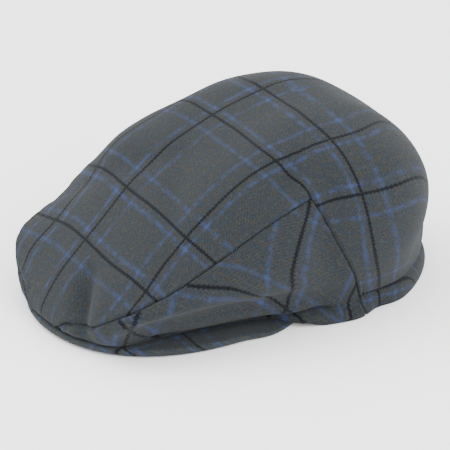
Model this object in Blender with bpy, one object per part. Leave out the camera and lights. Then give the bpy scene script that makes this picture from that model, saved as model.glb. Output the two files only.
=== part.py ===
# Tweed flat cap: one top panel that runs from the front lip over the crown and down the back, two side
# panels that narrow to a point at the front, and a stiff cloth-covered peak. The cap stands on its hem.
# Metres, +Z up, the peak towards -Y, the wearer's left towards +X.

from collections import namedtuple
from math import pi, radians

import bmesh
import bpy
import numpy as np

# Head opening, measured outside the hem
HEAD_WIDTH = 0.164
HEAD_LENGTH = 0.204

# Crown
CROWN_HEIGHT = 0.121
CLOTH = 0.0018
TOP_BACK = 0.016            # how far the highest point lies behind the middle of the opening
SIDE_LIFT = 0.014           # how far the side panel's lower fold rises over the peak
SIDE_TUCK = 0.009           # how far the side panel's foot is drawn in over the peak

# Peak
PEAK_REACH = 0.062          # how far the peak stands in front of the head opening
PEAK_WIDTH = 0.158
PEAK_CURVE = 0.086          # from the peak's widest place to its front, along Y
PEAK_SQUARE = 0.035
PEAK_THICKNESS = 0.0045
PEAK_TAIL_THICKNESS = 0.0022
PEAK_ARCH = 0.0012          # how much higher the middle of the peak is than its sides
PEAK_EDGE_ROUND = 0.0012
PEAK_TAIL_WIDTH = 0.009
PEAK_END = 118.0            # where a tail ends, in degrees round the peak's curve from its front

# Clearance between pieces that are sewn together
SEAM_GAP = 0.0004
SEAM_VALLEY = 0.0006        # how deep the cloth dips along a seam
END_SLOPE = 0.3             # keeps a seam's ends from sliding too far along the foot

# Rings of the crown from the sewn foot up to the top. way is the share of the way from foot to top.
# width is a share of HEAD_WIDTH, front of the reach from the middle of the opening to the peak's front,
# back of half HEAD_LENGTH, and the five heights of CROWN_HEIGHT. The squares make a ring's outline
# fuller at its corners. lift and tuck are the shares of SIDE_LIFT and SIDE_TUCK that a ring takes.
Ring = namedtuple(
    "Ring",
    "name way width front back front_square back_square z_front z_corner z_side z_rear z_back lift tuck",
)
RINGS = [
    Ring("foot", 0.00, 0.99, 0.983, 0.99, 0.065, -0.015, 0.0, 0.0, 0.0, 0.0, 0.0, 0.0, 1.0),
    Ring("fold", 0.08, 1.01, 1.009, 1.00, 0.075, -0.015, 0.080, 0.080, 0.095, 0.090, 0.090, 1.0, 0.1),
    Ring("low", 0.20, 1.09, 0.975, 0.99, 0.100, -0.005, 0.205, 0.205, 0.230, 0.240, 0.240, 0.5, 0.0),
    Ring("bulge", 0.36, 1.15, 0.905, 0.96, 0.085, 0.010, 0.320, 0.335, 0.440, 0.460, 0.470, 0.15, 0.0),
    Ring("shoulder", 0.54, 1.10, 0.716, 0.87, 0.035, 0.020, 0.505, 0.590, 0.680, 0.680, 0.660, 0.0, 0.0),
    Ring("crest", 0.71, 0.88, 0.490, 0.70, 0.025, 0.020, 0.705, 0.793, 0.865, 0.855, 0.815, 0.0, 0.0),
    Ring("inner", 0.86, 0.46, 0.200, 0.42, 0.010, 0.020, 0.910, 0.945, 0.980, 0.975, 0.960, 0.0, 0.0),
]

# Where the side panel hangs over the peak, in degrees round the crown from the front: it starts to
# rise, is fully up, starts to come down and is down again.
Window = namedtuple("Window", "start full ease end")
OVERHANG = Window(28.0, 55.0, 70.0, 96.0)
ON_PEAK = Window(-2.0, -1.0, 80.0, 86.0)

# The seam between top and side panel, from the front tip up to the point and down the back.
SeamStep = namedtuple("SeamStep", "azimuth way")
FRONT_SEAM = [
    SeamStep(7.0, 0.0),
    SeamStep(12.0, 0.10),
    SeamStep(18.0, 0.14),
    SeamStep(25.0, 0.16),
    SeamStep(32.0, 0.25),
    SeamStep(39.0, 0.335),
    SeamStep(48.0, 0.41),
    SeamStep(55.0, 0.468),
    SeamStep(63.0, 0.53),
    SeamStep(70.0, 0.567),
    SeamStep(77.0, 0.60),
]
BACK_SEAM = [
    SeamStep(77.0, 0.60),
    SeamStep(82.0, 0.514),
    SeamStep(86.0, 0.406),
    SeamStep(89.0, 0.31),
    SeamStep(92.0, 0.21),
    SeamStep(97.0, 0.0),
]

# Dents in the cloth, alike on both sides. azimuth and way place the middle. heading is the direction of
# the dent's length in degrees, 0 round the crown and 90 towards the top. length, width and depth are
# shares of CROWN_HEIGHT.
Dent = namedtuple("Dent", "name azimuth way heading length width depth")
DENTS = [
    Dent("front tuck", 15.0, 0.26, 125.0, 0.17, 0.070, 0.034),
    Dent("point pinch", 70.0, 0.67, 50.0, 0.15, 0.08, 0.022),
    Dent("behind point", 82.0, 0.64, 90.0, 0.12, 0.07, 0.014),
    Dent("side hollow", 82.0, 0.42, 90.0, 0.22, 0.12, 0.020),
    Dent("over the peak", 60.0, 0.22, 0.0, 0.34, 0.08, 0.016),
    Dent("back sag", 140.0, 0.24, 0.0, 0.36, 0.12, 0.018),
]

# Mesh fineness: columns along each stretch of the crown's round, rows up a panel
LIP_COLUMNS = 8
FRONT_SEAM_COLUMNS = 16
BACK_SEAM_COLUMNS = 8
BACK_COLUMNS = 15
TOP_ROWS = 16
ROW_CROWDING = 1.15         # over 1 it crowds the top panel's rows towards its lower edge
SIDE_ROWS = 8
PEAK_COLUMNS = 28
PEAK_ACROSS = (0.0, 0.35, 0.7)
SHARP_EDGE = radians(50)

# Small steps that the directions on the crown are measured over
TURN_STEP = radians(0.5)
WAY_STEP = 0.004

FRONT_REACH = HEAD_LENGTH / 2 + PEAK_REACH


def smooth(x):
    x = np.clip(x, 0.0, 1.0)
    return x * x * x * (10 - 15 * x + 6 * x * x)


def in_window(window, azimuth):
    """1 inside the window and 0 outside it, with soft ends."""
    angle = np.degrees(np.abs(azimuth))
    rising = smooth((angle - window.start) / (window.full - window.start))
    falling = smooth((angle - window.ease) / (window.end - window.ease))
    return rising * (1 - falling)


def round_the_crown(heights, azimuth):
    """Smooth heights round the crown through the values at 0, 45, 90, 135 and 180 degrees."""
    orders = np.arange(len(heights))
    stations = np.linspace(0, pi, len(heights))
    weights = np.linalg.solve(np.cos(np.outer(stations, orders)), np.array(heights))
    return np.cos(np.outer(np.abs(azimuth), orders)) @ weights


def oval(azimuth, half_width, reach, square):
    """An ellipse whose corners are made fuller by square, 0 degrees at the front."""
    x = half_width * (np.sin(azimuth) + square * np.sin(3 * azimuth)) / (1 - square)
    y = -reach * (np.cos(azimuth) - square * np.cos(3 * azimuth)) / (1 - square)
    return x, y


def peak_bottom(x):
    return PEAK_ARCH * np.clip(1 - (2 * x / PEAK_WIDTH) ** 2, 0, None)


def peak_tail_y():
    return oval(radians(PEAK_END), PEAK_WIDTH / 2, PEAK_CURVE, PEAK_SQUARE)[1] + PEAK_CURVE - FRONT_REACH


def peak_top(x, y):
    thinning = smooth((y - (PEAK_CURVE - FRONT_REACH)) / (peak_tail_y() - (PEAK_CURVE - FRONT_REACH)))
    return peak_bottom(x) + PEAK_THICKNESS + (PEAK_TAIL_THICKNESS - PEAK_THICKNESS) * thinning


def ring_points(ring, azimuth):
    to_back = smooth((1 - np.cos(azimuth)) / 2)
    square = ring.front_square + (ring.back_square - ring.front_square) * to_back
    front = ring.front * FRONT_REACH
    back = ring.back * HEAD_LENGTH / 2
    x, y = oval(azimuth, ring.width * HEAD_WIDTH / 2, front + (back - front) * to_back, square)
    over = in_window(OVERHANG, azimuth)
    x = x - np.sign(azimuth) * ring.tuck * SIDE_TUCK * over
    heights = (ring.z_front, ring.z_corner, ring.z_side, ring.z_rear, ring.z_back)
    z = CROWN_HEIGHT * round_the_crown(heights, azimuth) + ring.lift * SIDE_LIFT * over
    if ring.way == 0:
        z = (peak_top(x, y) + SEAM_GAP) * in_window(ON_PEAK, azimuth)
    return np.stack([x, y, z], axis=-1)


def read_spline(knots, values, at):
    """Natural cubic spline down the first axis of values, read once for each column at its own place."""
    count = len(knots)
    step = np.diff(knots)
    matrix = np.zeros((count, count))
    matrix[0, 0] = matrix[-1, -1] = 1
    for k in range(1, count - 1):
        matrix[k, k - 1 : k + 2] = step[k - 1], 2 * (step[k - 1] + step[k]), step[k]
    slopes = np.diff(values, axis=0) / step[:, None, None]
    right = np.zeros_like(values)
    right[1:-1] = 6 * np.diff(slopes, axis=0)
    bend = np.linalg.solve(matrix, right.reshape(count, -1)).reshape(values.shape)
    low = np.clip(np.searchsorted(knots, at, side="right") - 1, 0, count - 2)
    column = np.arange(values.shape[1])
    gone = (at - knots[low])[:, None]
    left = (knots[low + 1] - at)[:, None]
    span = step[low][:, None]
    low_bend = bend[low, column]
    high_bend = bend[low + 1, column]
    curve = (low_bend * left**3 + high_bend * gone**3) / (6 * span)
    low_line = values[low, column] / span - low_bend * span / 6
    high_line = values[low + 1, column] / span - high_bend * span / 6
    return curve + low_line * left + high_line * gone


def crown_points(azimuth, way):
    """The crown's outer face before its dents. Profiles run over the top and down the far side."""
    opposite = np.where(azimuth > 0, azimuth - pi, azimuth + pi)
    near = [ring_points(ring, azimuth) for ring in RINGS]
    far = [ring_points(ring, opposite) for ring in reversed(RINGS)]
    top = np.tile([0.0, TOP_BACK, CROWN_HEIGHT], (len(azimuth), 1))
    ways = [ring.way for ring in RINGS]
    knots = np.array(ways + [1.0] + [2 - way for way in reversed(ways)])
    return read_spline(knots, np.stack(near + [top] + far), way)


def unit(vectors):
    return vectors / np.linalg.norm(vectors, axis=-1, keepdims=True)


def crown_directions(azimuth, way):
    """Unit vectors round the crown, up it and out of it."""
    way = np.minimum(way, 1 - WAY_STEP)
    around = crown_points(azimuth + TURN_STEP, way) - crown_points(azimuth - TURN_STEP, way)
    up = crown_points(azimuth, way + WAY_STEP) - crown_points(azimuth, way - WAY_STEP)
    return unit(around), unit(up), unit(np.cross(around, up))


def dent_depth(points):
    """How deep the cloth is pushed in at each point, by all dents on both sides."""
    depth = np.zeros(len(points))
    for dent in DENTS:
        for side in (1, -1):
            azimuth = np.array([side * radians(dent.azimuth)])
            way = np.array([dent.way])
            middle = crown_points(azimuth, way)[0]
            around, up, _ = (vector[0] for vector in crown_directions(azimuth, way))
            heading = radians(dent.heading)
            along = side * np.cos(heading) * around + np.sin(heading) * up
            across = -side * np.sin(heading) * around + np.cos(heading) * up
            offset = points - middle
            length = offset @ along / (dent.length * CROWN_HEIGHT)
            width = offset @ across / (dent.width * CROWN_HEIGHT)
            depth += dent.depth * CROWN_HEIGHT * np.exp(-(length**2) - width**2)
    return depth


def seam_way(azimuth):
    """How far up the crown the seam lies at each azimuth between its two feet."""
    angle = np.degrees(np.abs(azimuth))
    way = np.zeros(len(angle))
    for steps in (FRONT_SEAM, BACK_SEAM):
        knots = np.array([step.azimuth for step in steps])
        inside = (angle >= knots[0]) & (angle <= knots[-1])
        values = np.array([[[step.way]] for step in steps]) * np.ones((1, inside.sum(), 1))
        way[inside] = read_spline(knots, values, angle[inside])[:, 0]
    return np.clip(way, 0, None)


def cloth_points(azimuth, way, dip=0.0):
    """Outer and inner face of the cloth. dip presses both in, as along a seam."""
    outer = crown_points(azimuth, way)
    out = crown_directions(azimuth, way)[2]
    foot = way == 0
    loose = smooth(way / RINGS[1].way)
    outer = outer - out * (dent_depth(outer) * loose + dip)[:, None]
    level = out * np.where(foot, 0.0, 1.0)[:, None]
    level[foot, :2] = unit(out[foot, :2])
    inner = outer - level * CLOTH
    resting = foot & (in_window(ON_PEAK, azimuth) == 1)
    inner[resting, 2] = peak_top(inner[resting, 0], inner[resting, 1]) + SEAM_GAP
    return outer, inner


def seam_columns():
    """Azimuths of the columns along the front seam, then the back seam, from foot to foot."""
    front = np.linspace(FRONT_SEAM[0].azimuth, FRONT_SEAM[-1].azimuth, FRONT_SEAM_COLUMNS + 1)
    back = np.linspace(BACK_SEAM[0].azimuth, BACK_SEAM[-1].azimuth, BACK_SEAM_COLUMNS + 1)
    return np.radians(np.concatenate([front, back[1:]]))


def across_seam(azimuth):
    """Unit vectors in the cloth, square to the seam, pointing to the top panel. They slide along the
    foot where the seam meets it, and are longer there to keep the gap."""
    way = seam_way(azimuth)
    line = crown_points(azimuth, way)
    around, _, out = crown_directions(azimuth, way)
    along = np.zeros_like(line)
    along[1:-1] = unit(line[2:] - line[1:-1]) + unit(line[1:-1] - line[:-2])
    along[0] = line[1] - line[0]
    along[-1] = line[-1] - line[-2]
    along = unit(along)
    across = np.cross(out, along)
    across = across * np.sign(azimuth)[:, None]
    for end, outward in ((0, -1), (-1, 1)):
        slope = abs(around[end] @ across[end])
        across[end] = outward * np.sign(azimuth[end]) * around[end] / max(slope, END_SLOPE)
    return across


def wall_faces(outer, inner):
    """Faces of both sides of a wall and its lower rim, from two grids of vertex numbers, rows by columns."""
    faces = []
    rows, columns = outer.shape
    for j in range(columns - 1):
        for i in range(rows - 1):
            faces.append((outer[i, j], outer[i, j + 1], outer[i + 1, j + 1], outer[i + 1, j]))
            faces.append((inner[i, j], inner[i + 1, j], inner[i + 1, j + 1], inner[i, j + 1]))
        faces.append((outer[0, j], inner[0, j], inner[0, j + 1], outer[0, j + 1]))
    return faces


def tidy_faces(faces):
    """Drop repeated corners, and faces with fewer than three corners left."""
    kept = []
    for face in faces:
        corners = []
        for corner in face:
            if corner not in corners:
                corners.append(int(corner))
        if len(corners) > 2:
            kept.append(corners)
    return kept


def cloth_material(name, colour, roughness):
    material = bpy.data.materials.new(name)
    material.use_nodes = True
    shader = material.node_tree.nodes["Principled BSDF"]
    shader.inputs["Base Color"].default_value = (*colour, 1.0)
    shader.inputs["Roughness"].default_value = roughness
    shader.inputs["Metallic"].default_value = 0.0
    shader.inputs["Sheen Weight"].default_value = 0.25
    return material


def add_piece(name, points, faces, parent, material):
    mesh = bpy.data.meshes.new(name)
    mesh.from_pydata([tuple(point) for point in points], [], tidy_faces(faces))
    work = bmesh.new()
    work.from_mesh(mesh)
    loose = [vertex for vertex in work.verts if not vertex.link_faces]
    bmesh.ops.delete(work, geom=loose, context="VERTS")
    bmesh.ops.triangulate(work, faces=work.faces, quad_method="SHORT_EDGE")
    work.to_mesh(mesh)
    work.free()
    mesh.materials.append(material)
    mesh.shade_smooth()
    mesh.set_sharp_from_angle(angle=SHARP_EDGE)
    mesh.update()
    piece = bpy.data.objects.new(name, mesh)
    bpy.context.scene.collection.objects.link(piece)
    piece.parent = parent
    return piece


def top_panel():
    """The panel with the lip, the top and the back. Its columns all meet at the top of the crown."""
    seam = seam_columns()
    lip = np.radians(np.linspace(0, FRONT_SEAM[0].azimuth, LIP_COLUMNS // 2 + 1))[:-1]
    back = np.linspace(seam[-1], pi, BACK_COLUMNS + 1)[1:]
    half = np.concatenate([lip, seam, back])
    azimuth = np.concatenate([half, -half[-2:0:-1]])
    lower = seam_way(azimuth)
    shift = np.zeros((len(azimuth), 3))
    first = len(lip)
    for side in (1, -1):
        columns = np.arange(first, first + len(seam))
        if side < 0:
            columns = len(azimuth) - columns
        shift[columns] = across_seam(side * seam) * SEAM_GAP / 2
    on_seam = np.zeros(len(azimuth))
    on_seam[first : first + len(seam)] = 1
    on_seam[len(azimuth) - first - len(seam) + 1 : len(azimuth) - first + 1] = 1
    outer_rows = []
    inner_rows = []
    for share in np.linspace(0, 1, TOP_ROWS + 1)[:-1] ** ROW_CROWDING:
        way = lower + (1 - lower) * share
        dip = SEAM_VALLEY * on_seam * (share == 0) * (lower > 0)
        outer, inner = cloth_points(azimuth, way, dip)
        if share == 0:
            outer = outer + shift
            inner = inner + shift
        outer_rows.append(outer)
        inner_rows.append(inner)
    points = np.concatenate(outer_rows + inner_rows + list(cloth_points(np.zeros(1), np.ones(1))))
    numbers = np.arange(len(points) - 2).reshape(2, len(outer_rows), len(azimuth))
    numbers = np.concatenate([numbers, numbers[:, :, :1]], axis=2)
    faces = wall_faces(numbers[0], numbers[1])
    top, under = len(points) - 2, len(points) - 1
    for j in range(len(azimuth)):
        faces.append((numbers[0, -1, j], numbers[0, -1, j + 1], top))
        faces.append((numbers[1, -1, j + 1], numbers[1, -1, j], under))
    return points, faces


def side_panel(side):
    """A side panel, from its front tip to the foot of the back seam."""
    azimuth = side * seam_columns()
    upper = seam_way(azimuth)
    shift = across_seam(azimuth) * SEAM_GAP / 2
    outer_rows = []
    inner_rows = []
    for share in np.linspace(0, 1, SIDE_ROWS + 1):
        dip = SEAM_VALLEY * (share == 1) * (upper > 0)
        outer, inner = cloth_points(azimuth, upper * share, dip)
        if share == 1:
            outer = outer - shift
            inner = inner - shift
        outer_rows.append(outer)
        inner_rows.append(inner)
    for rows in (outer_rows, inner_rows):
        for end in (0, -1):
            rows[0][end] = rows[-1][end]
    points = np.concatenate(outer_rows + inner_rows)
    numbers = np.arange(len(points)).reshape(2, len(outer_rows), len(azimuth))
    numbers[:, :, 0] = numbers[:, :1, 0]
    numbers[:, :, -1] = numbers[:, :1, -1]
    faces = wall_faces(numbers[0], numbers[1])
    for j in range(len(azimuth) - 1):
        faces.append((numbers[0, -1, j], numbers[0, -1, j + 1], numbers[1, -1, j + 1], numbers[1, -1, j]))
    if side < 0:
        faces = [face[::-1] for face in faces]
    return points, faces


def peak():
    """A flat crescent between the front of the head opening and the peak's curve, with a round edge."""
    turn = np.radians(np.linspace(-PEAK_END, PEAK_END, PEAK_COLUMNS + 1))
    outer_x, outer_y = oval(turn, PEAK_WIDTH / 2, PEAK_CURVE, PEAK_SQUARE)
    outer = np.stack([outer_x, outer_y + PEAK_CURVE - FRONT_REACH], axis=-1)
    tail_x = outer[-1, 0] - PEAK_TAIL_WIDTH
    tail_y = outer[-1, 1]
    opening_reach = HEAD_LENGTH / 2
    end = np.arccos(-tail_y / opening_reach)
    opening_half = tail_x / np.sin(end)
    inner_x, inner_y = oval(turn / turn[-1] * end, opening_half, opening_reach, 0)
    inner = np.stack([inner_x, inner_y], axis=-1)
    edge = unit(outer - inner) * PEAK_EDGE_ROUND
    plan = [inner + (outer - edge - inner) * share for share in (*PEAK_ACROSS, 1.0)]
    rows = [np.column_stack([spot, peak_bottom(spot[:, 0])]) for spot in plan]
    middle = (peak_bottom(outer[:, 0]) + peak_top(outer[:, 0], outer[:, 1])) / 2
    rows.append(np.column_stack([outer, middle]))
    rows += [np.column_stack([spot, peak_top(spot[:, 0], spot[:, 1])]) for spot in reversed(plan)]
    points = np.concatenate(rows)
    count = len(turn)
    numbers = np.arange(len(points)).reshape(len(rows), count)
    faces = []
    for i in range(len(rows)):
        k = (i + 1) % len(rows)
        for j in range(count - 1):
            faces.append((numbers[i, j], numbers[i, j + 1], numbers[k, j + 1], numbers[k, j]))
    faces.append(tuple(numbers[:, 0]))
    faces.append(tuple(numbers[::-1, -1]))
    return points, faces


def build():
    for item in list(bpy.data.objects):
        bpy.data.objects.remove(item)
    tweed = cloth_material("tweed", (0.060, 0.066, 0.070), 0.9)
    side_tweed = cloth_material("side_tweed", (0.062, 0.068, 0.072), 0.9)
    right_tweed = cloth_material("right_tweed", (0.062, 0.068, 0.072), 0.9)
    peak_tweed = cloth_material("peak_tweed", (0.055, 0.060, 0.064), 0.88)
    pieces = {
        "top_panel": (*top_panel(), tweed),
        "side_panel_left": (*side_panel(1), side_tweed),
        "side_panel_right": (*side_panel(-1), right_tweed),
        "peak": (*peak(), peak_tweed),
    }
    every = np.concatenate([points for points, _, _ in pieces.values()])
    cap = bpy.data.objects.new("cap", None)
    bpy.context.scene.collection.objects.link(cap)
    cap.location = (0, -(every[:, 1].min() + every[:, 1].max()) / 2, 0)
    for name, (points, faces, material) in pieces.items():
        add_piece(name, points, faces, cap, material)
    bpy.context.view_layer.update()


build()
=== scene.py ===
import bpy
import numpy as np
from math import pi, radians
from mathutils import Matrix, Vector, noise


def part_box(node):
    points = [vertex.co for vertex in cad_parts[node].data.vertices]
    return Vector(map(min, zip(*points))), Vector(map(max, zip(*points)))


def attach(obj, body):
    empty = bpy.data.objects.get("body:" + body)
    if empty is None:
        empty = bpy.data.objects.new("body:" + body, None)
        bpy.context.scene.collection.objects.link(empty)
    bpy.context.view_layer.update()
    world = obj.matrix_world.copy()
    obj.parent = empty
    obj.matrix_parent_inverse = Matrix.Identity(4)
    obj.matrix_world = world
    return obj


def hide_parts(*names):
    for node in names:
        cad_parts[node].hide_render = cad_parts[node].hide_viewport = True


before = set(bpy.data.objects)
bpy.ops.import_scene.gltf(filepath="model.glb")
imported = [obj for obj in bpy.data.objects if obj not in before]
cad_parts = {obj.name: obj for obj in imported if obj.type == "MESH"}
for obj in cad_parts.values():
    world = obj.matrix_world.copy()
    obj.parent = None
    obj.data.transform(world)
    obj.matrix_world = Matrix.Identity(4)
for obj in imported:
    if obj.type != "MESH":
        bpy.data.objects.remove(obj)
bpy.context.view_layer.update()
print("frame loaded")

# the crown's form, as the solids have it
crown = {
    "headWidth": 0.164,
    "headLength": 0.204,
    "height": 0.121,
    "cloth": 0.0018,
    "topBack": 0.016,
    "sideLift": 0.014,
    "sideTuck": 0.009,
}
peakForm = {
    "reach": 0.062,
    "width": 0.158,
    "curve": 0.086,
    "square": 0.035,
    "thickness": 0.0045,
    "tailThickness": 0.0022,
    "arch": 0.0012,
    "tailWidth": 0.009,
    "end": 118.0,
}
frontReach = crown["headLength"] / 2 + peakForm["reach"]
seamGap = 0.0004

# way, width, front, back, front square, back square, heights at 0 45 90 135 180 degrees, lift, tuck
rings = [
    (0.00, 0.99, 0.983, 0.99, 0.065, -0.015, (0.0, 0.0, 0.0, 0.0, 0.0), 0.0, 1.0),
    (0.08, 1.01, 1.009, 1.00, 0.075, -0.015, (0.080, 0.080, 0.095, 0.090, 0.090), 1.0, 0.1),
    (0.20, 1.09, 0.975, 0.99, 0.100, -0.005, (0.205, 0.205, 0.230, 0.240, 0.240), 0.5, 0.0),
    (0.36, 1.15, 0.905, 0.96, 0.085, 0.010, (0.320, 0.335, 0.440, 0.460, 0.470), 0.15, 0.0),
    (0.54, 1.10, 0.716, 0.87, 0.035, 0.020, (0.505, 0.590, 0.680, 0.680, 0.660), 0.0, 0.0),
    (0.71, 0.88, 0.490, 0.70, 0.025, 0.020, (0.705, 0.793, 0.865, 0.855, 0.815), 0.0, 0.0),
    (0.86, 0.46, 0.200, 0.42, 0.010, 0.020, (0.910, 0.945, 0.980, 0.975, 0.960), 0.0, 0.0),
]
overhang = (28.0, 55.0, 70.0, 96.0)      # degrees round from the front: starts, full, still full, ends
onPeak = (-2.0, -1.0, 80.0, 86.0)

# azimuth, way: the seam between the top panel and a side panel
frontSeam = [(7, 0.0), (12, 0.10), (18, 0.14), (25, 0.16), (32, 0.25), (39, 0.335), (48, 0.41), (55, 0.468),
             (63, 0.53), (70, 0.567), (77, 0.60)]
backSeam = [(77, 0.60), (82, 0.514), (86, 0.406), (89, 0.31), (92, 0.21), (97, 0.0)]

# azimuth, way, heading, length, width, depth: the solids' dents, the same on both sides
dents = [
    (15.0, 0.26, 125.0, 0.17, 0.070, 0.034),
    (70.0, 0.67, 50.0, 0.15, 0.08, 0.022),
    (82.0, 0.64, 90.0, 0.12, 0.07, 0.014),
    (82.0, 0.42, 90.0, 0.22, 0.12, 0.020),
    (60.0, 0.22, 0.0, 0.34, 0.08, 0.016),
    (140.0, 0.24, 0.0, 0.36, 0.12, 0.018),
]


def smooth(x):
    x = np.clip(x, 0.0, 1.0)
    return x * x * x * (10 - 15 * x + 6 * x * x)


def inWindow(window, azimuth):
    angle = np.degrees(np.abs(azimuth))
    rising = smooth((angle - window[0]) / (window[1] - window[0]))
    return rising * (1 - smooth((angle - window[2]) / (window[3] - window[2])))


def oval(azimuth, halfWidth, reach, square):
    x = halfWidth * (np.sin(azimuth) + square * np.sin(3 * azimuth)) / (1 - square)
    y = -reach * (np.cos(azimuth) - square * np.cos(3 * azimuth)) / (1 - square)
    return x, y


def peakBottom(x):
    return peakForm["arch"] * np.clip(1 - (2 * x / peakForm["width"]) ** 2, 0, None)


def peakTop(x, y):
    start = peakForm["curve"] - frontReach
    end = radians(peakForm["end"])
    tail = oval(end, peakForm["width"] / 2, peakForm["curve"], peakForm["square"])[1] + start
    thinning = smooth((y - start) / (tail - start))
    thickness = peakForm["thickness"] + (peakForm["tailThickness"] - peakForm["thickness"]) * thinning
    return peakBottom(x) + thickness


def ringPoints(ring, azimuth):
    way, width, front, back, frontSquare, backSquare, heights, lift, tuck = ring
    toBack = smooth((1 - np.cos(azimuth)) / 2)
    reach = front * frontReach + (back * crown["headLength"] / 2 - front * frontReach) * toBack
    square = frontSquare + (backSquare - frontSquare) * toBack
    x, y = oval(azimuth, width * crown["headWidth"] / 2, reach, square)
    over = inWindow(overhang, azimuth)
    x = x - np.sign(azimuth) * tuck * crown["sideTuck"] * over
    orders = np.arange(len(heights))
    weights = np.linalg.solve(np.cos(np.outer(np.linspace(0, pi, len(heights)), orders)), np.array(heights))
    z = crown["height"] * (np.cos(np.outer(np.abs(azimuth), orders)) @ weights)
    z = z + lift * crown["sideLift"] * over
    if way == 0:
        z = (peakTop(x, y) + seamGap) * inWindow(onPeak, azimuth)
    return np.stack([x, y, z], axis=-1)


def readSpline(knots, values, at):
    # a natural cubic spline down the first axis, read at one place in each column
    count = len(knots)
    step = np.diff(knots)
    matrix = np.zeros((count, count))
    matrix[0, 0] = matrix[-1, -1] = 1
    for k in range(1, count - 1):
        matrix[k, k - 1 : k + 2] = step[k - 1], 2 * (step[k - 1] + step[k]), step[k]
    right = np.zeros_like(values)
    right[1:-1] = 6 * np.diff(np.diff(values, axis=0) / step[:, None, None], axis=0)
    bend = np.linalg.solve(matrix, right.reshape(count, -1)).reshape(values.shape)
    low = np.clip(np.searchsorted(knots, at, side="right") - 1, 0, count - 2)
    column = np.arange(values.shape[1])
    gone = (at - knots[low])[:, None]
    left = (knots[low + 1] - at)[:, None]
    span = step[low][:, None]
    curve = (bend[low, column] * left**3 + bend[low + 1, column] * gone**3) / (6 * span)
    lowLine = values[low, column] / span - bend[low, column] * span / 6
    highLine = values[low + 1, column] / span - bend[low + 1, column] * span / 6
    return curve + lowLine * left + highLine * gone


def crownPoints(azimuth, way):
    opposite = np.where(azimuth > 0, azimuth - pi, azimuth + pi)
    near = [ringPoints(ring, azimuth) for ring in rings]
    far = [ringPoints(ring, opposite) for ring in reversed(rings)]
    top = np.tile([0.0, crown["topBack"], crown["height"]], (len(azimuth), 1))
    ways = [ring[0] for ring in rings]
    knots = np.array(ways + [1.0] + [2 - way for way in reversed(ways)])
    return readSpline(knots, np.stack(near + [top] + far), way)


def unit(vectors):
    return vectors / np.maximum(np.linalg.norm(vectors, axis=-1, keepdims=True), 1e-12)


def crownDirections(azimuth, way):
    turn, rise = radians(0.5), 0.004
    way = np.minimum(way, 1 - rise)
    around = crownPoints(azimuth + turn, way) - crownPoints(azimuth - turn, way)
    up = crownPoints(azimuth, way + rise) - crownPoints(azimuth, way - rise)
    return unit(around), unit(up), unit(np.cross(around, up))


def bumpFrames(table, sides):
    # each row as its middle, its two directions over their lengths, and its height
    frames = []
    for azimuth, way, heading, length, width, height in table:
        for side in sides:
            place = np.array([side * radians(azimuth)]), np.array([way])
            middle = crownPoints(*place)[0]
            around, up, _ = (vector[0] for vector in crownDirections(*place))
            turn = radians(heading)
            along = (side * np.cos(turn) * around + np.sin(turn) * up) / (length * crown["height"])
            across = (-side * np.sin(turn) * around + np.cos(turn) * up) / (width * crown["height"])
            frames.append((middle, along, across, height * crown["height"]))
    return frames


def bumpHeight(points, frames):
    total = np.zeros(len(points))
    for middle, along, across, height in frames:
        offset = points - middle
        total += height * np.exp(-((offset @ along) ** 2) - (offset @ across) ** 2)
    return total


dentFrames = bumpFrames(dents, (1, -1))


def seamWay(azimuth):
    angle = np.degrees(np.abs(azimuth))
    way = np.zeros(len(angle))
    for steps in (frontSeam, backSeam):
        knots = np.array([step[0] for step in steps], float)
        inside = (angle >= knots[0]) & (angle <= knots[-1])
        values = np.array([[[step[1]]] for step in steps]) * np.ones((1, inside.sum(), 1))
        way[inside] = readSpline(knots, values, angle[inside])[:, 0]
    return np.clip(way, 0, None)


# Where the worn cloth leaves the solids low down. Windows are degrees round from the front, and ways run up
# the cloth from 0 at the hem to 1 at the top.
deepFold = {                   # under the fold over the peak, the cloth runs in before it comes down
    "inward": 0.008,
    "shelf": 0.0035,
    "window": (38.0, 66.0, 74.0, 82.0),
    "frontEdge": 0.030,        # the fold's edge, as a way, and behind the climb
    "backEdge": 0.060,
    "climb": (74.0, 88.0),
    "doneAt": 0.7,
}
fullSide = {"out": 0.0025, "way": 0.050, "spread": 0.028, "window": (40.0, 60.0, 76.0, 88.0)}
hemGroove = {"inward": 0.0065, "below": 0.014, "spread": 0.009, "window": (75.0, 80.0, 84.0, 91.0)}
hemFlare = {"out": 0.0065, "window": (72.0, 82.0, 92.0, 106.0), "height": 0.075}
backFlare = {"out": 0.0045, "window": (98.0, 118.0, 150.0, 176.0), "height": 0.14}


def bell(value, middle, spread):
    return np.exp(-(((value - middle) / spread) ** 2))


def foldUnder(azimuth, way):
    climbFrom, climbTo = deepFold["climb"]
    climb = smooth((np.degrees(np.abs(azimuth)) - climbFrom) / (climbTo - climbFrom))
    edge = deepFold["frontEdge"] + (deepFold["backEdge"] - deepFold["frontEdge"]) * climb
    under = np.clip(1 - way / edge, 0, 1)
    over = inWindow(deepFold["window"], azimuth)
    out = -deepFold["inward"] * smooth(under / deepFold["doneAt"]) * over
    full = bell(way, fullSide["way"], fullSide["spread"])
    out += fullSide["out"] * full * inWindow(fullSide["window"], azimuth)
    groove = bell(way, edge - hemGroove["below"], hemGroove["spread"])
    out -= hemGroove["inward"] * groove * inWindow(hemGroove["window"], azimuth)
    out += hemFlare["out"] * inWindow(hemFlare["window"], azimuth) * (1 - smooth(way / hemFlare["height"]))
    back = backFlare["out"] * inWindow(backFlare["window"], azimuth) * (1 - smooth(way / backFlare["height"]))
    shift = np.zeros((len(azimuth), 3))
    shift[:, 0] = np.sign(azimuth) * out + np.sin(azimuth) * back
    shift[:, 1] = -np.cos(azimuth) * back
    shift[:, 2] = deepFold["shelf"] * np.sin(pi * under) * over
    return shift


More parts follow.
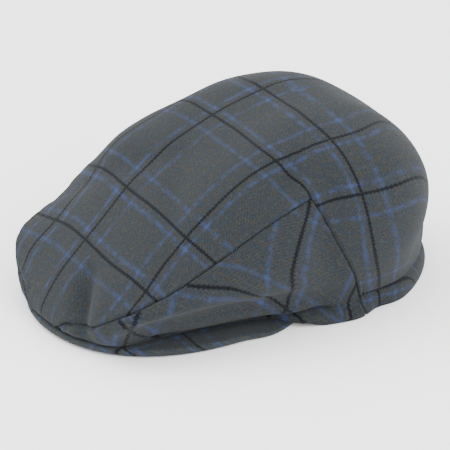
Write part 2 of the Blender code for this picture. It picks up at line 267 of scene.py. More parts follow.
def clothPoints(azimuth, way):
    # the cloth's outer face with the solids' dents in it, and the way out of it
    outer = crownPoints(azimuth, way)
    out = crownDirections(azimuth, way)[2]
    loose = smooth(way / rings[1][0])
    return outer - out * (bumpHeight(outer, dentFrames) * loose)[:, None], out


# The check follows the cloth, whose own coordinates are in mm: "front" grows from the front to the back, and
# "across" from the wearer's right to the left. Each dark line has its place in one of them, and then where it
# crosses the crown: azimuth, way.
topLines = {
    "front": [
        (0.0, [(-37, 0.37), (-22, 0.43), (-3, 0.46), (18, 0.44), (38, 0.385)]),
        (40.0, [(-28, 0.59), (-9, 0.63), (9, 0.625), (25, 0.595), (37, 0.545), (51, 0.475)]),
        (113.0, [(-56, 0.765), (-20, 0.846), (20, 0.848), (54, 0.788), (68, 0.715), (75, 0.64)]),
        (153.0, [(-86, 0.855), (59, 0.93), (92, 0.85), (96, 0.775), (94, 0.64), (95, 0.50), (97, 0.33),
                 (103, 0.09)]),
    ],
    "across": [
        (0.0, [(-31, 0.49), (-21, 0.415), (-19, 0.33)]),
        (40.0, [(0, 0.15), (0, 0.26), (-1, 0.365), (-3, 0.46), (-9, 0.63), (-15, 0.76), (-20, 0.83),
                (-36, 0.91)]),
        (113.0, [(35, 0.42), (35, 0.51), (41, 0.625), (48, 0.697), (62, 0.755), (96, 0.775), (115, 0.765),
                 (146, 0.73)]),
        (153.0, [(80, 0.562), (94, 0.565), (107, 0.555), (132, 0.50)]),
        (226.0, [(99, 0.088), (106, 0.085), (113, 0.08), (124, 0.06)]),
    ],
}
sideLines = {
    "front": [
        (40.0, [(39.4, 0.335), (40, 0.28), (42.5, 0.145)]),
        (113.0, [(75.6, 0.555), (75, 0.44), (76, 0.31), (78, 0.16), (77, 0.055)]),
        (153.0, [(92.5, 0.08)]),
    ],
    "across": [
        (160.0, [(75.6, 0.56)]),
        (226.0, [(49, 0.405), (56, 0.38), (62.5, 0.345), (70.5, 0.21), (76.5, 0.05)]),
        (266.0, [(40.6, 0.19), (43.5, 0.07)]),
    ],
}
pattern = {
    "middle": 55.0,            # the "across" coordinate on the crown's middle line
    "topColumns": 72,
    "topRows": 28,
    "topTo": 0.995,
    "topAt": 157.0,            # the "front" coordinate at the crown's top, to start from
    "mirrorFrom": 45.0,
    "sideColumns": 48,
    "sideRows": 20,
    "sideTo": 103.0,
    "sideAt": (153.0, 250.0),
    "pull": 0.01,
    "rounds": 60,
    "stiffness": 0.008,
    "footMost": 0.46,          # the even edges that the coarse grids have near the seam
    "footWindow": (5.0, 70.0, 68.0, 94.0),
    "headLeast": 0.14,
    "headRise": 0.50,
    "headWindow": (0.0, 72.0, 74.0, 104.0),
}


def flattenPanel(points, triangles, start, pins):
    # lays a panel out flat with as little stretch as it can, each piece of it turned but not resized
    corners = points[triangles]
    edgeA, edgeB = corners[:, 1] - corners[:, 0], corners[:, 2] - corners[:, 0]
    axisX = unit(edgeA)
    normal = np.cross(edgeA, edgeB)
    keep = np.linalg.norm(normal, axis=1) > 2e-10
    triangles, corners, axisX, normal = triangles[keep], corners[keep], axisX[keep], normal[keep]
    axisY = np.cross(axisX, unit(normal))
    offset = corners - corners[:, :1]
    local = np.stack([np.einsum("tkc,tc->tk", offset, axis) for axis in (axisX, axisY)], axis=-1)
    count = len(points)
    weights = np.zeros((count, count))
    edges = []
    for k in range(3):
        a, b = triangles[:, k], triangles[:, (k + 1) % 3]
        placeA, placeB, placeC = local[:, k], local[:, (k + 1) % 3], local[:, (k + 2) % 3]
        toA, toB = placeA - placeC, placeB - placeC
        double = np.abs(toA[:, 0] * toB[:, 1] - toA[:, 1] * toB[:, 0])
        cotangent = np.clip((toA * toB).sum(1) / np.maximum(double, 1e-12), 0.05, 20) / 2
        edges.append((a, b, placeA - placeB, cotangent))
        np.add.at(weights, (a, a), cotangent)
        np.add.at(weights, (b, b), cotangent)
        np.add.at(weights, (a, b), -cotangent)
        np.add.at(weights, (b, a), -cotangent)
    inverses, targets = [], []
    for rows, values in pins:
        system = weights + pattern["pull"] * rows.T @ rows + 1e-7 * np.eye(count)
        inverses.append(np.linalg.inv(system))
        targets.append(pattern["pull"] * rows.T @ values)
    flat = start.copy()
    for _ in range(pattern["rounds"]):
        spread = np.zeros((len(triangles), 2, 2))
        for a, b, rest, cotangent in edges:
            spread += cotangent[:, None, None] * np.einsum("ti,tj->tij", flat[a] - flat[b], rest)
        left, _, right = np.linalg.svd(spread)
        left[:, :, 1] *= np.sign(np.linalg.det(left @ right))[:, None]
        turn = left @ right
        load = np.zeros((count, 2))
        for a, b, rest, cotangent in edges:
            pull = cotangent[:, None] * np.einsum("tij,tj->ti", turn, rest)
            np.add.at(load, a, pull)
            np.add.at(load, b, -pull)
        flat = np.stack([inverses[k] @ (load[:, k] + targets[k]) for k in range(2)], axis=-1)
    return flat


def pinRows(lines, azimuths, shares, lowEdge, highEdge, wraps):
    # for each crossing in the table, a row of weights on the grid's corners, and the line's place
    rows, values = [], []
    columns = len(azimuths)
    for value, places in lines:
        for angle, way in places:
            azimuth = radians(angle)
            low = lowEdge(np.array([azimuth]))[0]
            high = highEdge(np.array([azimuth]))[0]
            share = np.clip((way - low) / max(high - low, 1e-6), 0, 1)
            i = int(np.clip(np.searchsorted(shares, share) - 1, 0, len(shares) - 2))
            intoRow = (share - shares[i]) / (shares[i + 1] - shares[i])
            j = int(np.clip(np.searchsorted(azimuths, azimuth) - 1, 0, columns - (1 if wraps else 2)))
            nextJ = (j + 1) % columns
            step = (azimuths[nextJ] - azimuths[j]) % (2 * pi)
            intoColumn = np.clip((azimuth - azimuths[j]) / step, 0, 1)
            row = np.zeros((len(shares), columns))
            row[i, j] += (1 - intoRow) * (1 - intoColumn)
            row[i, nextJ] += (1 - intoRow) * intoColumn
            row[i + 1, j] += intoRow * (1 - intoColumn)
            row[i + 1, nextJ] += intoRow * intoColumn
            rows.append(row.ravel())
            values.append(value)
    return np.array(rows), np.array(values)


def bendToLines(flat, axis, lineRows, values):
    # shifts one coordinate by a smooth amount, so that the check's lines pass their crossings
    places = lineRows @ flat / 100

    def kernel(a, b):
        gone = np.linalg.norm(a[:, None] - b[None], axis=2) + 1e-9
        return gone**2 * np.log(gone)

    count = len(places)
    side = np.column_stack([np.ones(count), places])
    system = np.zeros((count + 3, count + 3))
    system[:count, :count] = kernel(places, places) + pattern["stiffness"] * np.eye(count)
    system[:count, count:] = side
    system[count:, :count] = side.T
    miss = values - lineRows @ flat[:, axis]
    weights = np.linalg.solve(system, np.concatenate([miss, np.zeros(3)]))
    everywhere = flat / 100
    shift = kernel(everywhere, places) @ weights[:count]
    shift += np.column_stack([np.ones(len(flat)), everywhere]) @ weights[count:]
    print("check lines moved by", np.abs(miss).mean().round(1), "mm on average")
    return flat[:, axis] + shift


def gridTriangles(rows, columns, wraps):
    number = np.arange(rows * columns).reshape(rows, columns)
    if wraps:
        number = np.concatenate([number, number[:, :1]], axis=1)
    a, b = number[:-1, :-1].ravel(), number[:-1, 1:].ravel()
    c, d = number[1:, 1:].ravel(), number[1:, :-1].ravel()
    return np.concatenate([np.stack([a, b, c], 1), np.stack([a, c, d], 1)])


def readGrid(grid, azimuths, shares, azimuth, share, wraps):
    # reads the coarse grid smoothly at fine places, by Catmull-Rom in both directions
    def weightsAt(f):
        square, cube = f**2, f**3
        return np.stack([2 * square - cube - f, 2 - 5 * square + 3 * cube, f + 4 * square - 3 * cube,
                         cube - square]) / 2

    rows, columns = grid.shape[:2]
    place = (azimuth - azimuths[0]) / (azimuths[1] - azimuths[0])
    column = np.floor(place).astype(int)
    if not wraps:
        column = np.clip(column, 0, columns - 2)
    row = np.clip(np.searchsorted(shares, share) - 1, 0, rows - 2)
    rowWeights = weightsAt(np.clip((share - shares[row]) / (shares[row + 1] - shares[row]), 0, 1))
    columnWeights = weightsAt(place - column)
    total = np.zeros((len(azimuth), grid.shape[2]))
    for a in range(4):
        nearRow = np.clip(row + a - 1, 0, rows - 1)
        for b in range(4):
            nearColumn = (column + b - 1) % columns if wraps else np.clip(column + b - 1, 0, columns - 1)
            total += (rowWeights[a] * columnWeights[b])[:, None] * grid[nearRow, nearColumn]
    return total


def bothSides(family):
    # the far side has the near side's layout
    lines = topLines[family]
    return lines + [(value if family == "front" else 2 * pattern["middle"] - value,
                     [(-angle, way) for angle, way in places if angle > pattern["mirrorFrom"]])
                    for value, places in lines]


def layFlat(grid, triangles, start, families, azimuths, shares, lowEdge, highEdge, wraps):
    pins = [pinRows(lines, azimuths, shares, lowEdge, highEdge, wraps) for lines in families]
    flat = flattenPanel(grid.reshape(-1, 3), triangles, start.reshape(-1, 2), pins)
    flat = np.column_stack([bendToLines(flat, axis, *pins[axis]) for axis in (0, 1)])
    return azimuths, shares, flat.reshape(*grid.shape[:2], 2)


def topFoot(azimuth):
    # an even edge just below the top panel's own
    return pattern["footMost"] * inWindow(pattern["footWindow"], azimuth)


def sideHead(azimuth):
    # an even edge just above a side panel's own
    return pattern["headLeast"] + pattern["headRise"] * inWindow(pattern["headWindow"], azimuth)


def topCoordinates():
    columns, rows = pattern["topColumns"], pattern["topRows"]
    azimuths = np.linspace(-pi, pi, columns, endpoint=False) + 1e-9
    shares = np.linspace(0, pattern["topTo"], rows)
    low = topFoot(azimuths)
    grid = np.stack([clothPoints(azimuths, low + (1 - low) * share)[0] for share in shares]) * 1000
    down = np.linalg.norm(np.diff(grid, axis=0), axis=2)
    toTop = np.concatenate([np.cumsum(down[::-1], axis=0)[::-1], np.zeros((1, columns))])
    startFront = pattern["topAt"] - toTop * np.cos(azimuths)
    start = np.stack([startFront, pattern["middle"] + toTop * np.sin(azimuths)], axis=-1)
    ends = (rows - 1) * columns + np.arange(columns)
    cap = np.stack([np.full(columns - 2, ends[0]), ends[1:-1], ends[2:]], 1)
    triangles = np.concatenate([gridTriangles(rows, columns, True), cap])
    families = bothSides("front"), bothSides("across")
    return layFlat(grid, triangles, start, families, azimuths, shares, topFoot, np.ones_like, True)


def sideCoordinates():
    columns, rows = pattern["sideColumns"], pattern["sideRows"]
    azimuths = np.linspace(0, radians(pattern["sideTo"]), columns)
    shares = np.linspace(0, 1, rows)
    high = sideHead(azimuths)
    grid = np.stack([clothPoints(azimuths, high * share)[0] for share in shares]) * 1000
    fromFront, fromTop = pattern["sideAt"]
    start = np.stack([fromFront + grid[:, :, 1], fromTop - grid[:, :, 2]], axis=-1)
    families = sideLines["front"], sideLines["across"]
    triangles = gridTriangles(rows, columns, False)
    return layFlat(grid, triangles, start, families, azimuths, shares, np.zeros_like, sideHead, False)


# azimuth, way, heading, length, width, height: where the worn cloth is fuller than the solids, or is pinched
swells = [
    (-43.0, 0.60, 60.0, 0.30, 0.30, 0.046),
    (-30.0, 0.34, 0.0, 0.25, 0.16, 0.020),
    (-130.0, 0.90, 0.0, 0.30, 0.26, 0.024),
    (150.0, 0.78, 0.0, 0.16, 0.16, 0.020),
    (-6.0, 0.10, 0.0, 0.40, 0.10, 0.016),
    (13.0, 0.270, 128.0, 0.17, 0.045, -0.038),
    (-15.0, 0.260, 55.0, 0.17, 0.070, 0.030),
    (68.0, 0.685, 55.0, 0.16, 0.055, -0.026),
    (84.0, 0.610, 90.0, 0.12, 0.050, -0.016),
    (82.0, 0.440, 95.0, 0.20, 0.080, -0.018),
]


swellFrames = bumpFrames(swells, (1,))

sewing = {
    "edgeRoll": 0.0015,        # how deep a panel's edge turns down into its seam
    "edgeReach": 0.0014,
    "edgeSharpness": 1.6,
    "ridgeRise": 0.00045,      # the soft ridge beside a seam, over the turned-in allowance
    "ridgeAt": 0.0045,
    "ridgeSpread": 0.003,
    "puckerEvery": 0.0125,
    "puckerDeep": 0.00028,
    "puckerReach": 0.010,
    "gap": seamGap * 0.25,     # between a side panel's edge and the top panel's
    "waves": ((0.055, 0.0008), (0.024, 0.0004)),   # slow unevenness: length, height
    "swellsFrom": 0.06,        # the ways at which swells are full
    "mergeWithin": 0.00002,
}


def waviness(points, seed):
    height = np.zeros(len(points))
    for size, amount in sewing["waves"]:
        for k, point in enumerate(points):
            height[k] += amount * noise.noise(Vector(point) / size + Vector((seed, 0, 0)))
    return height


def gridPiece(name, rows, columns, coordinates, uv):
    # a flat grid whose corners are carried to their places on the crown
    bpy.ops.object.select_all(action="DESELECT")
    bpy.ops.mesh.primitive_grid_add(x_subdivisions=columns - 1, y_subdivisions=rows - 1, size=1)
    piece = bpy.context.active_object
    piece.name = piece.data.name = name
    mesh = piece.data
    mesh.vertices.foreach_set("co", coordinates.reshape(-1))
    layer = mesh.uv_layers[0]
    layer.name = "cloth"
    corner = np.empty(len(mesh.loops), dtype=np.int32)
    mesh.loops.foreach_get("vertex_index", corner)
    layer.data.foreach_set("uv", uv.reshape(-1, 2)[corner].astype(np.float32).reshape(-1))
    mesh.update()
    return piece


def finishPiece(piece, thickness):
    bpy.ops.object.select_all(action="DESELECT")
    piece.select_set(True)
    bpy.context.view_layer.objects.active = piece
    bpy.ops.object.mode_set(mode="EDIT")
    bpy.ops.mesh.select_all(action="SELECT")
    bpy.ops.mesh.remove_doubles(threshold=sewing["mergeWithin"])
    bpy.ops.mesh.normals_make_consistent(inside=False)
    bpy.ops.object.mode_set(mode="OBJECT")
    wall = piece.modifiers.new("wall", "SOLIDIFY")
    wall.thickness = thickness
    wall.offset = -1
    bpy.ops.object.modifier_apply(modifier="wall")
    bpy.ops.object.shade_smooth()


def outwards(piece, inside):
    # a sheet's faces all point one way: turn them round if that way is in
    mesh = piece.data
    total = sum((face.center - inside).dot(face.normal) * face.area for face in mesh.polygons)
    if total < 0:
        mesh.flip_normals()


def runAlong(edge):
    # how far along the seam each of its places is
    return np.concatenate([[0], np.cumsum(np.linalg.norm(np.diff(edge, axis=0), axis=1))])


def edgeShape(distance, alongSeam, raised):
    # what a seam does to the cloth: the edge rolls in, and a low ridge and puckers run beside it
    roll = sewing["edgeRoll"] * np.exp(-((distance / sewing["edgeReach"]) ** sewing["edgeSharpness"]))
    ridge = sewing["ridgeRise"] * bell(distance, sewing["ridgeAt"], sewing["ridgeSpread"]) * raised
    pucker = sewing["puckerDeep"] * np.sin(2 * pi * alongSeam / sewing["puckerEvery"])
    return ridge + pucker * np.exp(-distance / sewing["puckerReach"]) - roll


def crowdedShares(rows, closeRows, closeShare):
    close = np.linspace(0, closeShare, closeRows, endpoint=False)
    return np.concatenate([close, closeShare + (1 - closeShare) * np.linspace(0, 1, rows - closeRows)])


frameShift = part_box("peak")[0][1] + frontReach
inTheMiddle = Vector((0, frameShift, 0.05))


def acrossSeam(azimuth):
    way = seamWay(azimuth)
    line = crownPoints(azimuth, way)
    around, _, out = crownDirections(azimuth, way)
    along = np.gradient(line, axis=0)
    across = np.cross(out, unit(along)) * np.sign(azimuth)[:, None]
    return across


topPanel = {
    "columns": 384,
    "rows": 104,
    "closeRows": 30,           # the rows next to the seam, and the share of the cloth that they cover
    "closeShare": 0.12,
    "raised": 1.0,
    "waveSeed": 3.0,
    "wavesFrom": 0.15,
    "hemWay": 0.085,           # the stitched groove above the back's hem
    "hemDeep": 0.0016,
    "hemSpread": 0.0123,
}


def makeTop():
    azimuths, shares, flat = topCoordinates()
    columns, rows = topPanel["columns"], topPanel["rows"]
    azimuth = np.linspace(-pi, pi, columns + 1)
    azimuth[0], azimuth[-1] = -pi + 1e-6, pi - 1e-6
    low = seamWay(azimuth)
    foot = topFoot(azimuth)
    edge = clothPoints(azimuth, low)[0]
    alongSeam = runAlong(edge)
    sewn = (low > 0).astype(float)
    hem = (np.degrees(np.abs(azimuth)) > backSeam[-1][0] - 1) * topPanel["hemDeep"]
    places, cloth = [], []
    for share in crowdedShares(rows, topPanel["closeRows"], topPanel["closeShare"]):
        way = low + (1 - low) * min(share, 0.9995)
        outer, out = clothPoints(azimuth, way)
        distance = np.linalg.norm(outer - edge, axis=-1)
        lift = edgeShape(distance, alongSeam, topPanel["raised"]) * sewn
        lift += waviness(outer, topPanel["waveSeed"]) * smooth(way / topPanel["wavesFrom"])
        lift += bumpHeight(outer, swellFrames) * smooth(way / sewing["swellsFrom"])
        lift -= hem * bell(way, topPanel["hemWay"], topPanel["hemSpread"])
        places.append(outer + foldUnder(azimuth, way) + out * lift[:, None])
        cloth.append(readGrid(flat, azimuths, shares, azimuth, (way - foot) / (1 - foot), True))
    places = np.stack(places)
    places[:, -1] = places[:, 0]
    places[-1] = places[-1].mean(axis=0)
    places[..., 1] += frameShift
    piece = gridPiece("top_cloth", rows, columns + 1, places, np.stack(cloth) / 100)
    outwards(piece, inTheMiddle)
    finishPiece(piece, crown["cloth"])
    print("top panel made,", len(piece.data.polygons), "faces")
    return piece


sidePanel = {
    "columns": 180,
    "rows": 56,
    "hemRows": 18,             # the rows below the hem's way
    "hemWay": 0.075,
    "closeRows": 10,
    "closeShare": 0.08,
    "raised": 0.4,
    "waveSeed": 7.0,
    "waveShare": 0.8,
    "wavesFrom": 0.10,
}


def makeSide(side, name):
    azimuths, shares, flat = sideCoordinates()
    columns, rows, hemRows = sidePanel["columns"], sidePanel["rows"], sidePanel["hemRows"]
    azimuth = np.linspace(radians(frontSeam[0][0]) + 2e-3, radians(backSeam[-1][0]) - 2e-3, columns)
    high = seamWay(azimuth)
    head = sideHead(azimuth)
    hemWay = np.minimum(sidePanel["hemWay"], high / 2)
    hemShares = [(share, 0.0) for share in np.linspace(0, 1, hemRows, endpoint=False)]
    close = crowdedShares(rows - hemRows, sidePanel["closeRows"], sidePanel["closeShare"])
    upperShares = [(1.0, 1 - share) for share in close[::-1]]
    edge = clothPoints(side * azimuth, high)[0]
    alongSeam = runAlong(edge)
    places, cloth = [], []
    for hem, upper in hemShares + upperShares:
        way = hemWay * hem + (high - hemWay) * upper
        outer, out = clothPoints(side * azimuth, way)
        distance = np.linalg.norm(outer - edge, axis=-1)
        waves = waviness(outer, sidePanel["waveSeed"]) * sidePanel["waveShare"]
        lift = edgeShape(distance, alongSeam, sidePanel["raised"])
        lift += waves * smooth(way / sidePanel["wavesFrom"])
        lift += bumpHeight(outer, swellFrames) * smooth(way / sewing["swellsFrom"])
        places.append(outer + foldUnder(side * azimuth, way) + out * lift[:, None])
        cloth.append(readGrid(flat, azimuths, shares, azimuth, way / head, False))
    places = np.stack(places)
    places[-1] -= acrossSeam(side * azimuth) * sewing["gap"]
    places[..., 1] += frameShift
    piece = gridPiece(name, rows, columns, places, np.stack(cloth) / 100)
    outwards(piece, inTheMiddle)
    finishPiece(piece, crown["cloth"])
    print(name, "made,", len(piece.data.polygons), "faces")
    return piece


peakLook = {
    "columns": 160,
    "across": 16,
    "rounding": 9,
    "crowding": 1.4,           # rows stand closer together by the edge
    "forward": 0.0035,
    "square": 0.018,
    "tailOut": 0.0050,
    "tailFrom": 92.0,
    "tailFull": 112.0,
    "end": 126.0,
    "clothAt": (137.0, 57.0),  # the check's place on the peak, in mm
    "clothWrap": 3.0,          # cloth that goes round the edge, in mm
    "paintedLight": 1.45,           # the photo's light reaches the peak's strip better than the studio's
}


def makePeak():
    end = radians(peakLook["end"])
    turn = np.linspace(-end, end, peakLook["columns"])
    start = peakForm["curve"] - frontReach
    outerX, outerY = oval(turn, peakForm["width"] / 2, peakForm["curve"], peakLook["square"])
    inTail = (np.degrees(np.abs(turn)) - peakLook["tailFrom"]) / (peakLook["tailFull"] - peakLook["tailFrom"])
    outerX = outerX + np.sign(turn) * peakLook["tailOut"] * smooth(inTail)
    outerY = outerY - peakLook["forward"] * np.clip(np.cos(turn), 0, 1)
    outer = np.stack([outerX, outerY + start], axis=-1)
    reach = crown["headLength"] / 2
    close = np.arccos(-outer[-1, 1] / reach)
    half = (outer[-1, 0] - peakForm["tailWidth"]) / np.sin(close)
    innerX, innerY = oval(turn / end * close, half, reach, 0)
    overInner = inWindow(deepFold["window"], np.arctan2(innerX, -innerY))
    innerX = innerX - np.sign(innerX) * deepFold["inward"] * overInner
    inner = np.stack([innerX, innerY], axis=-1)
    inward = unit(inner - outer)
    depth = np.linalg.norm(inner - outer, axis=-1)
    bottom = peakBottom(outer[:, 0])
    radius = (peakTop(outer[:, 0], outer[:, 1]) - bottom) / 2
    roundness = np.linspace(-pi / 2, pi / 2, peakLook["rounding"])[1:-1]
    flatIn = np.linspace(0, 1, peakLook["across"]) ** peakLook["crowding"]
    profile = [("bottom", share) for share in flatIn[::-1]]
    profile += [("edge", angle) for angle in roundness] + [("top", share) for share in flatIn]
    clothAlong, clothAcross = peakLook["clothAt"]
    rows, cloth = [], []
    for kind, value in profile:
        if kind == "edge":
            spot = outer + inward * (radius * (1 - np.cos(value)))[:, None]
            z = bottom + radius * (1 + np.sin(value))
            wrap = np.sin(value)
        else:
            spot = outer + inward * (radius + (depth - radius) * value)[:, None]
            z = peakBottom(spot[:, 0]) if kind == "bottom" else peakTop(spot[:, 0], spot[:, 1])
            wrap = -1 if kind == "bottom" else 1
        rows.append(np.column_stack([spot, z]))
        along = spot[:, 1] * 1000 + clothAlong + peakLook["clothWrap"] * wrap
        cloth.append(np.stack([along, spot[:, 0] * 1000 + clothAcross], axis=-1))
    rows.append(rows[0])
    cloth.append(cloth[0])
    places = np.stack(rows)
    places[..., 1] += frameShift
    piece = gridPiece("peak_cloth", len(rows), len(turn), places, np.stack(cloth) / 100)
    bpy.ops.object.mode_set(mode="EDIT")
    bpy.ops.mesh.select_all(action="SELECT")
    bpy.ops.mesh.remove_doubles(threshold=sewing["mergeWithin"])
    bpy.ops.mesh.select_all(action="DESELECT")
    bpy.ops.mesh.select_non_manifold()
    bpy.ops.mesh.edge_face_add()               # closes the two tail ends
    bpy.ops.mesh.select_all(action="SELECT")
    bpy.ops.mesh.normals_make_consistent(inside=False)
    bpy.ops.object.mode_set(mode="OBJECT")
    bpy.ops.object.shade_smooth()
    print("peak made,", len(piece.data.polygons), "faces")
    return piece


def hexColour(text):
    channels = [int(text[k : k + 2], 16) / 255 for k in (1, 3, 5)]
    linear = [c / 12.92 if c <= 0.04045 else ((c + 0.055) / 1.055) ** 2.4 for c in channels]
    return (*linear, 1.0)


def addNode(tree, kind, inputs, output=0, **settings):
    # adds a node, sets it, sets or links its inputs, and gives back one of its outputs
    node = tree.nodes.new("ShaderNode" + kind)
    for name, value in settings.items():
        setattr(node, name, value)
    for socket, value in inputs.items():
        if isinstance(value, bpy.types.NodeSocket):
            tree.links.new(value, node.inputs[socket])
        else:
            node.inputs[socket].default_value = value
    return node.outputs[output]


# It is matt and slightly fuzzy, so it has a little sheen and no gloss. Lengths are mm.
tweed = {
    "ground": "#24282B",
    # colour, stretch along and across, shift, flecks to a mm, fleck starts, fleck full, strength
    "heather": [
        ("#2B2B24", (0.6, 1.4, 1.0), (0.0, 0.0, 0.0), 0.27, 0.45, 0.65, 0.75),
        ("#20272F", (1.4, 0.6, 1.0), (0.0, 0.0, 0.0), 0.30, 0.47, 0.66, 0.80),
        ("#2E2726", (1.0, 1.0, 1.0), (0.0, 0.0, 0.0), 0.24, 0.52, 0.70, 0.60),
        ("#33393F", (1.0, 1.0, 1.0), (31.0, 17.0, 0.0), 0.30, 0.52, 0.72, 0.35),
    ],
    "twillPitch": 1.7,         # real twill ribs are about 1.2 mm apart, drawn coarser so that they show
    "ribTone": 0.16,
    "grainPerMm": 0.85,
    "grainTone": 1.50,
    "baseTone": 0.11,
    "period": 113.0,           # the check: a narrow cell of 40 mm and a wide one of 73 mm
    "cellMiddle": 20.0,
    # distance from the narrow cell's middle, half the line's width, softness
    "lines": {"dark": (20.0, 0.95, 0.50), "innerBlue": (14.3, 1.15, 1.4), "outerBlue": (33.0, 1.15, 1.4)},
    "darkYarn": "#05060A",
    "darkBetween": 0.68,       # how dark a line is between the ribs, and how much more on them
    "darkOnRibs": 0.30,
    "blueYarn": "#2D3A60",
    "blueLeast": 0.06,         # blue shows in patches, and most where two blue lines cross
    "bluePatches": 0.36,
    "blueCrossings": 0.46,
    "outerShare": 0.85,
    "fray": 1.6,
    "tooth": 0.8,
    "driftSize": 45.0,         # the weave's slow wander
    "drift": 1.8,
    "fuzzPerMm": 2.2,
    "bump": 0.35,
    "bumpHeight": 0.0005,
    "roughness": 0.92,
    "specular": 0.05,
    "sheen": 0.04,
    "sheenRoughness": 0.6,
}


def clothMaterial(name, paintedLight=1.0):
    material = bpy.data.materials.new(name)
    material.use_nodes = True
    tree = material.node_tree
    shader = tree.nodes["Principled BSDF"]
    uv = addNode(tree, "UVMap", {}, uv_map="cloth")
    mm = addNode(tree, "VectorMath", {0: uv, 1: (100.0, 100.0, 0.0)}, operation="MULTIPLY")

    # the lines' places wander a little
    drift = addNode(tree, "TexNoise", {"Vector": mm, "Scale": 1 / tweed["driftSize"], "Detail": 0.0}, "Color")
    drift = addNode(tree, "VectorMath", {0: drift, 1: (0.5, 0.5, 0.5)}, operation="SUBTRACT")
    reach = (2 * tweed["drift"], 2 * tweed["drift"], 0.0)
    place = addNode(tree, "VectorMath", {0: drift, 1: reach, 2: mm}, operation="MULTIPLY_ADD")
    along = addNode(tree, "SeparateXYZ", {0: place}, "X")
    across = addNode(tree, "SeparateXYZ", {0: place}, "Y")

    # twill: ribs on the diagonal
    diagonal = addNode(tree, "Math", {0: along, 1: across}, operation="ADD")
    diagonal = addNode(tree, "Math", {0: diagonal, 1: 0.7071}, operation="MULTIPLY")
    rib = addNode(tree, "Math", {0: diagonal, 1: tweed["twillPitch"] / 2}, operation="PINGPONG")
    rib = addNode(tree, "Math", {0: rib, 1: tweed["twillPitch"] / 2}, operation="DIVIDE")

    # heather yarn: each of the shades shows in short flecks along the threads
    base = hexColour(tweed["ground"])
    for colour, stretch, shift, perMm, low, high, strength in tweed["heather"]:
        where = addNode(tree, "VectorMath", {0: mm, 1: stretch, 2: shift}, operation="MULTIPLY_ADD")
        flecks = addNode(tree, "TexNoise", {"Vector": where, "Scale": perMm, "Detail": 3.0,
                                            "Roughness": 0.65}, "Fac")
        flecks = addNode(tree, "MapRange", {"Value": flecks, "From Min": low, "From Max": high,
                                            "To Max": strength}, interpolation_type="SMOOTHSTEP")
        base = addNode(tree, "Mix", {0: flecks, 6: base, 7: hexColour(colour)}, 2, data_type="RGBA")
    grain = addNode(tree, "TexNoise", {"Vector": mm, "Scale": tweed["grainPerMm"], "Detail": 2.0,
                                       "Roughness": 0.7}, "Fac")
    tone = addNode(tree, "Math", {0: rib, 1: tweed["ribTone"], 2: tweed["baseTone"]},
                   operation="MULTIPLY_ADD")
    tone = addNode(tree, "Math", {0: grain, 1: tweed["grainTone"], 2: tone}, operation="MULTIPLY_ADD")
    base = addNode(tree, "VectorMath", {0: base, "Scale": tone}, operation="SCALE")

    # the check: a pair of dark lines, with a blue line inside and outside each
    fray = addNode(tree, "TexNoise", {"Vector": mm, "Scale": 0.9, "Detail": 2.0}, "Fac")
    halfOff = -(tweed["fray"] + tweed["tooth"]) / 2
    ragged = addNode(tree, "Math", {0: fray, 1: tweed["fray"], 2: halfOff}, operation="MULTIPLY_ADD")
    ragged = addNode(tree, "Math", {0: rib, 1: tweed["tooth"], 2: ragged}, operation="MULTIPLY_ADD")
    masks = {line: [] for line in tweed["lines"]}
    for value in (along, across):
        distance = addNode(tree, "Math", {0: value, 1: tweed["cellMiddle"]}, operation="SUBTRACT")
        distance = addNode(tree, "Math", {0: distance, 1: tweed["period"] / 2}, operation="PINGPONG")
        for line, (at, half, soft) in tweed["lines"].items():
            off = addNode(tree, "Math", {0: distance, 1: at}, operation="SUBTRACT")
            off = addNode(tree, "Math", {0: off}, operation="ABSOLUTE")
            off = addNode(tree, "Math", {0: off, 1: ragged}, operation="ADD")
            mask = addNode(tree, "MapRange", {"Value": off, "From Min": half - soft, "From Max": half + soft,
                                              "To Min": 1.0, "To Max": 0.0}, interpolation_type="SMOOTHSTEP")
            masks[line].append(mask)
    dark, inner, outer = (addNode(tree, "Math", {0: one, 1: other}, operation="MAXIMUM")
                          for one, other in masks.values())
    patches = addNode(tree, "TexNoise", {"Vector": mm, "Scale": 0.16, "Detail": 2.0}, "Fac")
    patches = addNode(tree, "MapRange", {"Value": patches, "From Min": 0.36, "From Max": 0.62,
                                         "To Min": tweed["blueLeast"],
                                         "To Max": tweed["blueLeast"] + tweed["bluePatches"]},
                      interpolation_type="SMOOTHSTEP")
    outer = addNode(tree, "Math", {0: outer, 1: tweed["outerShare"]}, operation="MULTIPLY")
    blue = addNode(tree, "Math", {0: inner, 1: outer}, operation="MAXIMUM")
    blue = addNode(tree, "Math", {0: blue, 1: patches}, operation="MULTIPLY")
    either = [addNode(tree, "Math", {0: one, 1: other}, operation="MAXIMUM")
              for one, other in zip(masks["innerBlue"], masks["outerBlue"])]
    crossing = addNode(tree, "Math", {0: either[0], 1: either[1]}, operation="MULTIPLY")
    blue = addNode(tree, "Math", {0: crossing, 1: tweed["blueCrossings"], 2: blue}, operation="MULTIPLY_ADD",
                   use_clamp=True)
    base = addNode(tree, "Mix", {0: blue, 6: base, 7: hexColour(tweed["blueYarn"])}, 2, data_type="RGBA")
    dashes = addNode(tree, "MapRange", {"Value": rib, "From Min": 0.10, "From Max": 0.60,
                                        "To Min": tweed["darkBetween"],
                                        "To Max": tweed["darkBetween"] + tweed["darkOnRibs"]},
                     interpolation_type="SMOOTHSTEP")
    dark = addNode(tree, "Math", {0: dark, 1: dashes}, operation="MULTIPLY")
    base = addNode(tree, "Mix", {0: dark, 6: base, 7: hexColour(tweed["darkYarn"])}, 2, data_type="RGBA")
    # painted light: the whole colour is scaled up by this factor, so the piece looks more brightly lit than
    # the lamps make it
    base = addNode(tree, "VectorMath", {0: base, "Scale": paintedLight}, operation="SCALE")

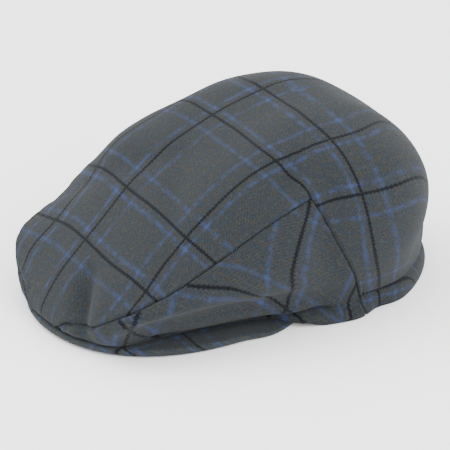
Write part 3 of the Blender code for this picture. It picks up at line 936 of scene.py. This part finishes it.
    # ribs and fuzz stand up a little
    fuzz = addNode(tree, "TexNoise", {"Vector": mm, "Scale": tweed["fuzzPerMm"], "Detail": 4.0,
                                      "Roughness": 0.8}, "Fac")
    fuzz = addNode(tree, "Math", {0: fuzz, 1: 0.8}, operation="MULTIPLY")
    height = addNode(tree, "Math", {0: rib, 1: 0.5, 2: fuzz}, operation="MULTIPLY_ADD")
    bump = addNode(tree, "Bump", {"Height": height, "Strength": tweed["bump"],
                                  "Distance": tweed["bumpHeight"]})
    tree.links.new(base, shader.inputs["Base Color"])
    tree.links.new(bump, shader.inputs["Normal"])
    shader.inputs["Roughness"].default_value = tweed["roughness"]
    shader.inputs["Specular IOR Level"].default_value = tweed["specular"]
    shader.inputs["Sheen Weight"].default_value = tweed["sheen"]
    shader.inputs["Sheen Roughness"].default_value = tweed["sheenRoughness"]
    return material


pieces = [
    (makeTop(), "top_panel", "tweed", clothMaterial("wool_tweed")),
    (makeSide(1, "left_side_cloth"), "side_panel_left", "side_tweed", clothMaterial("wool_tweed_left")),
    (makeSide(-1, "right_side_cloth"), "side_panel_right", "right_tweed", clothMaterial("wool_tweed_right")),
    # the peak's copy of the tweed has painted light: its colour is lighter than the crown's, standing in for
    # light on the peak's strip
    (makePeak(), "peak", "peak_tweed", clothMaterial("wool_tweed_peak_painted_light", peakLook["paintedLight"])),
]
for piece, node, slotName, material in pieces:
    piece.data.materials.clear()
    piece.data.materials.append(material)
    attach(piece, "root")
    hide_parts(node)
print("pieces dressed")

studio = {
    "floorSize": 12.0,
    "floorColour": "#FEFEFE",
    "world": 2.9,
    "keyPower": 18.0,
    "keyAt": (-0.7, -0.9, 1.5),
    "keySize": 1.4,
    "fillPower": 14.0,
    "fillAt": (1.3, 0.3, 0.9),
    "aim": (0.0, 0.0, 0.05),
}
view = {                       # the photo's camera: degrees round from the front, and above the floor
    "azimuth": 60.0,
    "elevation": 25.0,
    "distance": 1.6,
    "target": (-0.0095, -0.0308, 0.0347),
    "lens": 200.0,
    "sensor": 36.0,
}

bpy.ops.object.select_all(action="DESELECT")
bpy.ops.mesh.primitive_plane_add(size=studio["floorSize"], location=(0, 0, -0.0004))
floor = bpy.context.active_object
floor.name = "floor"
floorMaterial = bpy.data.materials.new("paper_floor")
floorMaterial.use_nodes = True
floorShader = floorMaterial.node_tree.nodes["Principled BSDF"]
floorShader.inputs["Base Color"].default_value = hexColour(studio["floorColour"])
floorShader.inputs["Roughness"].default_value = 0.95
floorShader.inputs["Specular IOR Level"].default_value = 0.1
floor.data.materials.append(floorMaterial)

world = bpy.context.scene.world or bpy.data.worlds.new("studio")
bpy.context.scene.world = world
world.use_nodes = True
background = world.node_tree.nodes["Background"]
background.inputs["Color"].default_value = (1.0, 1.0, 1.0, 1.0)
background.inputs["Strength"].default_value = studio["world"]


def addSoftLight(name, place, size, power):
    bpy.ops.object.light_add(type="AREA", location=place)
    light = bpy.context.active_object
    light.name = name
    light.data.shape = "DISK"
    light.data.size = size
    light.data.energy = power
    aim = Vector(studio["aim"]) - Vector(place)
    light.rotation_euler = aim.to_track_quat("-Z", "Y").to_euler()


addSoftLight("key", studio["keyAt"], studio["keySize"], studio["keyPower"])
addSoftLight("fill", studio["fillAt"], studio["keySize"], studio["fillPower"])

around, above = radians(view["azimuth"]), radians(view["elevation"])
target = Vector(view["target"]) + Vector((0, frameShift, 0))
toCamera = Vector((np.sin(around) * np.cos(above), -np.cos(around) * np.cos(above), np.sin(above)))
bpy.ops.object.camera_add(location=target + toCamera * view["distance"])
camera = bpy.context.active_object
camera.name = "camera"
camera.rotation_euler = (-toCamera).to_track_quat("-Z", "Y").to_euler()
camera.data.sensor_width = view["sensor"]
camera.data.lens = view["lens"]
bpy.context.scene.camera = camera
print("studio ready")
